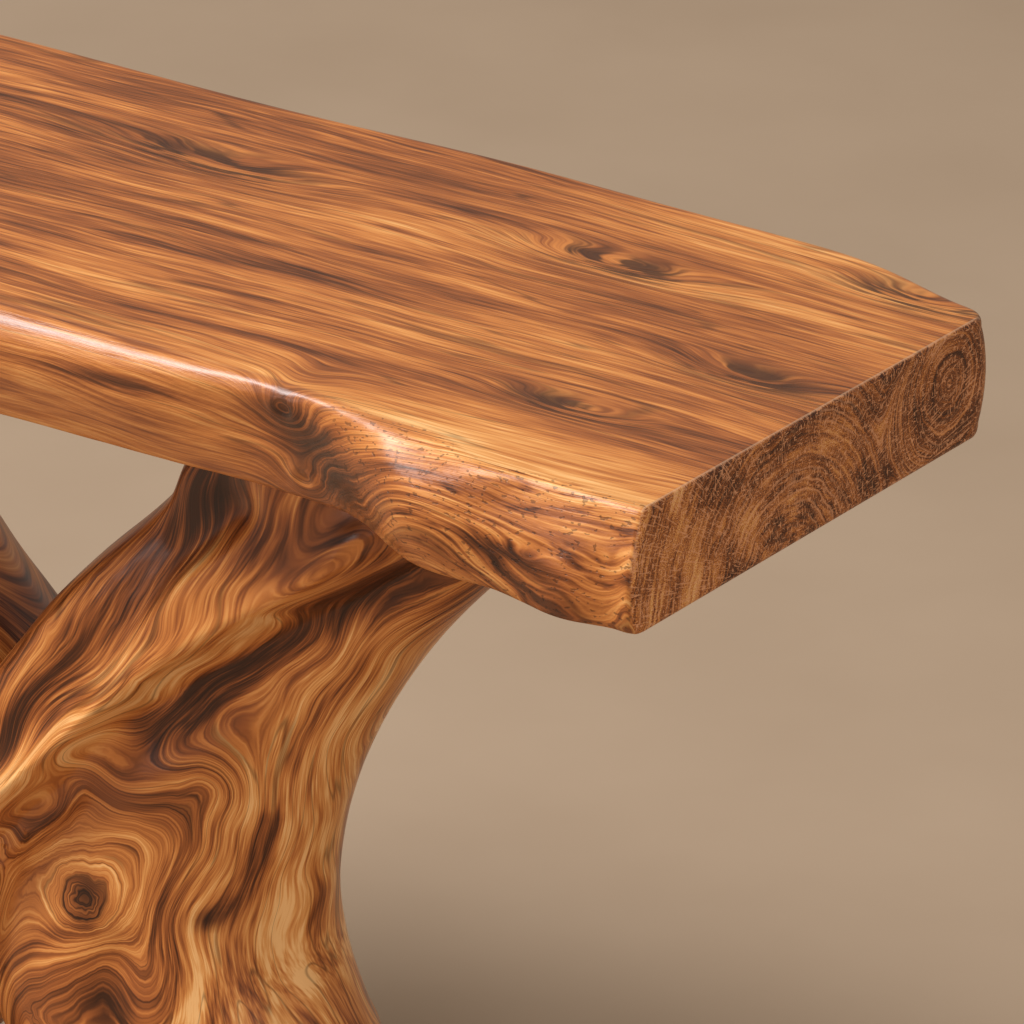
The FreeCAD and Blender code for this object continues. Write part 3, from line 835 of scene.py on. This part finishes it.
# Knots of the top and of the front edge: (centre, reach, how far they push the layers aside)
TOP_KNOTS = [
    ((0.382, 0.0965, 0.76), (0.066, 0.018, 0.06), 0.026),
    ((0.486, -0.099, 0.76), (0.046, 0.014, 0.04), 0.019),
    ((0.537, -0.003, 0.76), (0.050, 0.017, 0.05), 0.020),
    ((0.556, 0.152, 0.76), (0.054, 0.018, 0.06), 0.022),
    ((0.080, 0.095, 0.76), (0.078, 0.019, 0.06), 0.024),
    ((-0.260, -0.060, 0.76), (0.055, 0.014, 0.06), 0.018),
    ((-0.450, 0.080, 0.76), (0.060, 0.016, 0.06), 0.018),
]
EDGE_KNOTS = [
    ((0.334, -0.173, 0.7465), (0.020, 0.04, 0.015), 0.026),
    ((0.341, -0.162, 0.703), (0.019, 0.04, 0.014), 0.024),
    ((-0.130, -0.180, 0.722), (0.016, 0.04, 0.012), 0.020),
]

# Dark patches of the front edge: (centre, reach)
DARK_PATCHES = [
    ((0.350, -0.172, 0.732), (0.044, 0.04, 0.022)),
    ((0.372, -0.176, 0.710), (0.022, 0.03, 0.016)),
    ((0.205, -0.178, 0.738), (0.075, 0.02, 0.006)),
    ((0.525, -0.205, 0.718), (0.040, 0.03, 0.006)),
    ((-0.110, -0.180, 0.725), (0.060, 0.03, 0.015)),
    ((-0.400, -0.190, 0.720), (0.070, 0.03, 0.012)),
]

# Light and dark zones of tone: (centre, reach, turn, change of tone). The one on the large swell of the
# front edge is paler wood with a painted highlight.
TOP_TONE_AND_HIGHLIGHT_ZONES = [
    ((0.214, 0.077, 0.76), (0.130, 0.018, 0.01), -0.15, 0.22),
    ((0.300, -0.116, 0.76), (0.150, 0.007, 0.01), -0.06, -0.20),
    ((0.200, -0.030, 0.76), (0.180, 0.012, 0.01), -0.18, -0.14),
    ((0.467, 0.118, 0.76), (0.060, 0.010, 0.01), 0.10, -0.14),
    ((0.020, 0.080, 0.76), (0.220, 0.300, 0.04), 0.0, -0.15),
    # Paler wood and a painted highlight on the large swell of the front edge
    ((0.455, -0.200, 0.752), (0.040, 0.03, 0.018), 0.0, 0.18),
    ((0.470, -0.150, 0.76), (0.110, 0.030, 0.01), 0.0, 0.10),
]
wander = place.speckle(x * 2.6, y * 9.0, z * 9.0, 2.0) - 0.5
ripple = place.speckle(x * 11.0, y * 34.0, z * 34.0, 2.0) - 0.5
arch = eye(place, (0.558, -0.200, 0.672), (0.060, 0.06, 0.048))
layer = y + z * 0.9 + wander * 0.045 + arch * 0.035
dark = 0.0
for centre, reach, push in TOP_KNOTS:
    blob = eye(place, centre, reach)
    layer = layer + blob * push
    dark = dark + blob
patch = 0.0
for centre, reach, push in EDGE_KNOTS:
    blob = eye(place, centre, reach)
    layer = layer + blob * push
    patch = patch + blob * 0.6
for centre, reach in DARK_PATCHES:
    patch = patch + eye(place, centre, reach)
layer = layer + ripple * (0.005 + dark * 0.010 + patch * 0.014)
zone = streaked(layer, x, 0.060, 6.0, 21.0)
broad = streaked(layer, x, 0.022, 12.0, 0.0)
streak = streaked(layer, x, 0.0075, 26.0, 7.0, 3.0)
thread = streaked(layer, x, 0.0024, 40.0, 3.0, 2.0)
fibre = streaked(layer, x, 0.0008, 40.0, 9.0, 1.0)
smoke = streaked(layer, x, 0.006, 10.0, 15.0, 3.0)
smear = streaked(layer, x, 0.013, 13.0, 31.0, 3.0).rise(0.10, 0.26)
face = 1 - edge.rise(0.0, 0.004)
sap = 1 - (edge + wander * 0.03).rise(0.004, 0.026)
# The zones of tone, the painted highlight on the swell among them, go into the tone below
zones_and_highlight = 0.0
for centre, reach, turn, change in TOP_TONE_AND_HIGHLIGHT_ZONES:
    zones_and_highlight = zones_and_highlight + eye(place, centre, reach, (0.0, 0.0, turn)) * change
patch = patch * (0.6 + streak * 2.2 + ripple * 0.8).rise(0.0, 1.0)
tone = 0.55 + zone * 0.7 + broad * 0.6 + streak * 0.65 + thread * 0.75 + fibre * 0.5
tone = tone + sap * (0.16 - face * 0.14) - smear * 0.26 - patch * 0.62 + zones_and_highlight
dry = face * x.rise(0.41, 0.47)
vein = streaked(layer + ripple * 0.008, x, 0.0055, 7.0, 41.0, 3.0)
tone = tone + dry * (0.05 - vein.rise(0.02, 0.22) * 0.42 + thread * 0.7)
line = 1 - abs(streaked(layer, x, 0.016, 24.0, 5.0, 1.0)).rise(0.0, 0.02)
soot = dark * 1.4 * (0.48 + smoke * 4.6).rise(0.2, 0.8)
pore = place.speckle(x * 240.0, y * 420.0, z * 420.0, 1.0).rise(0.63, 0.68) * face * x.rise(0.33, 0.40)
top_colour = tone.node("ShaderNodeValToRGB", {"stops": WOOD_STOPS}, {0: tone})
top_colour = top_colour.shaded(1 - line * 0.40)
top_colour = top_colour.tinted(srgb(50, 24, 10), soot.maths("MINIMUM", soot, 1.0) * 0.86)
top_colour = top_colour.shaded(1 - pore * 0.5)

# Sawn ends: growth rings round the heart of the log, crossed by pale rays and flecked with pores
HEART_Y, HEART_Z = -0.050, 0.668
KNOT_Y, KNOT_Z = 0.116, 0.730
rings = ((y - HEART_Y) ** 2.0 + (z - HEART_Z) ** 2.0) ** 0.5
side_rings = ((y - KNOT_Y) ** 2.0 + (z - KNOT_Z) ** 2.0) ** 0.5
by_knot = 1 - (side_rings + wander * 0.04).rise(0.040, 0.075)
sway = place.speckle(y * 40.0, z * 40.0, x * 10.0, 2.0) - 0.5
rings = rings * (1 - by_knot) + side_rings * by_knot + sway * 0.010
swing = z.maths("ARCTAN2", z - HEART_Z, y - HEART_Y)
arc = rings.speckle(rings * 420.0, swing * 3.0, 0.0, 2.0) - 0.5
wide_arc = rings.speckle(rings * 46.0, swing * 1.6, 4.0, 2.0) - 0.5
blotch = place.speckle(y * 26.0, z * 34.0, x * 5.0, 2.0) - 0.5
crescent = rings.maths("SINE", rings * 920.0).rise(0.70, 0.96) * (0.5 + blotch * 2.0).rise(0.35, 0.75)
ray = rings.speckle(swing * 120.0, rings * 60.0, 2.0, 1.0).rise(0.60, 0.66)
upright = place.speckle(y * 800.0, z * 190.0, x * 100.0, 1.0).rise(0.62, 0.68)
level = place.speckle(y * 210.0, z * 800.0, x * 90.0 + 7.0, 1.0).rise(0.62, 0.68)
grit = place.speckle(y * 1300.0, z * 1300.0, 0.0, 1.0) - 0.5
front_zone = 1 - (y + wander * 0.02).rise(-0.146, -0.138)
end_tone = 0.37 + wide_arc * 1.2 + arc * 1.3 + grit * 1.3 + blotch * 0.7 + front_zone * 0.20
pale = crescent * 0.50 + ray * 0.6 + upright * 0.85 + level * 0.75
end_colour = end_tone.node("ShaderNodeValToRGB", {"stops": WOOD_STOPS}, {0: end_tone})
end_colour = end_colour.tinted(srgb(216, 151, 107), pale.maths("MINIMUM", pale, 0.82))
# A painted highlight along the eased top arris of each sawn end, over a paler worn edge
by_end = abs(x).rise(SLAB_HIGH.x - 0.0030, SLAB_HIGH.x - 0.0018)
by_top = z.rise(SLAB_HIGH.z - 0.0032, SLAB_HIGH.z - 0.0016)
top_colour = top_colour.tinted(srgb(206, 170, 140), by_end * by_top * 0.5)
sawn = abs(x).rise(SLAB_HIGH.x - 0.0024, SLAB_HIGH.x - 0.0008)
colour = top_colour.tinted(end_colour, sawn)
feed(slab_shader, Base_Color=colour, Roughness=0.40 + thread * 0.2, IOR=1.45)
slab_shader.inputs["Specular IOR Level"].default_value = 0.35
feed(slab_shader, Coat_Weight=(face - dry * 0.75) * 0.4)
slab_shader.inputs["Coat Roughness"].default_value = 0.30
crust = place.speckle(x * 170.0, y * 420.0, z * 420.0, 3.0) - pore * 0.6
feed(slab_shader, Normal=(thread + fibre + crust * face * 1.6).bump(0.0004, 0.6))
slab.data.materials.append(slab_wood)
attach(slab, "root")
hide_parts("slab_top")


# Slab inserts: flanged brass sleeves with an inner thread, two above each plate, at the ears. They are driven
# up into stepped holes in the slab, flush with its underside.
insert_brass = metal("insert_brass", srgb(204, 174, 112), srgb(232, 204, 146), 0.32)
dress(["right_slab_inserts", "left_slab_inserts"], insert_brass)


# Bolt washers: flat rings of zinc-plated steel, punched from sheet. Each spreads a bolt head over the slot in
# its ear.
washer_zinc = metal("washer_zinc", srgb(184, 186, 188), srgb(208, 210, 212), 0.34)
dress(["right_bolt_washers", "left_bolt_washers"], washer_zinc)


# Slab bolts: button head bolts of zinc-plated steel with a hexagon socket, up through washers and ears into
# the inserts. The slots let the slab swell and shrink across its grain.
bolt_zinc = metal("bolt_zinc", srgb(182, 184, 187), srgb(206, 208, 211), 0.28)
dress(["right_slab_bolts", "left_slab_bolts"], bolt_zinc)


# Studio: a plain pale floor, a large soft lamp from the upper left in front, a low one beside it, a weak fill
# from the right and an even sky.
FLOOR_SIZE = 14.0
bpy.ops.object.select_all(action="DESELECT")
bpy.ops.mesh.primitive_plane_add(size=FLOOR_SIZE, location=(0, 0, 0))
floor = bpy.context.active_object
floor.name = "studio_floor"
floor_finish, floor_shader, place = new_finish("floor_plaster")
mottle = place.node("ShaderNodeTexNoise", {}, {"Vector": place, "Scale": 3.0, "Detail": 4.0})
stops = [(0.3, srgb(159, 136, 113)), (0.7, srgb(166, 143, 120))]
feed(floor_shader, Base_Color=mottle.node("ShaderNodeValToRGB", {"stops": stops}, {0: mottle}), Roughness=0.9)
floor.data.materials.append(floor_finish)

scene = bpy.context.scene
sky = bpy.data.worlds.new("studio_sky")
sky.use_nodes = True
background = sky.node_tree.nodes["Background"]
background.inputs["Color"].default_value = srgb(255, 246, 232)
background.inputs["Strength"].default_value = 0.42
scene.world = sky

# Lamps: (name, stand, size, power, aim)
LAMPS = [
    ("key_softbox", (-2.65, -2.1, 4.9), 1.9, 385.0, (0.1, 0.0, 0.6)),
    ("low_softbox", (-1.3, -3.2, 1.45), 1.2, 14.0, (0.1, 0.0, 0.45)),
    ("fill_softbox", (2.6, -2.2, 1.6), 2.4, 32.0, (0.2, 0.0, 0.5)),
]
for name, stand, size, power, aim in LAMPS:
    lamp = bpy.data.lights.new(name, "AREA")
    lamp.size = size
    lamp.energy = power
    light = bpy.data.objects.new(name, lamp)
    light.location = stand
    light.rotation_euler = (Vector(aim) - Vector(stand)).to_track_quat("-Z", "Y").to_euler()
    scene.collection.objects.link(light)

camera_data = bpy.data.cameras.new("camera")
camera_data.sensor_width = 36.0
camera_data.lens = 288.28
camera = bpy.data.objects.new("camera", camera_data)
camera.location = (2.9261, -3.6063, 2.5362)
camera.rotation_euler = (math.radians(66.7), 0.0, math.radians(35.3))
scene.collection.objects.link(camera)
scene.camera = camera
scene.view_settings.view_transform = "Standard"
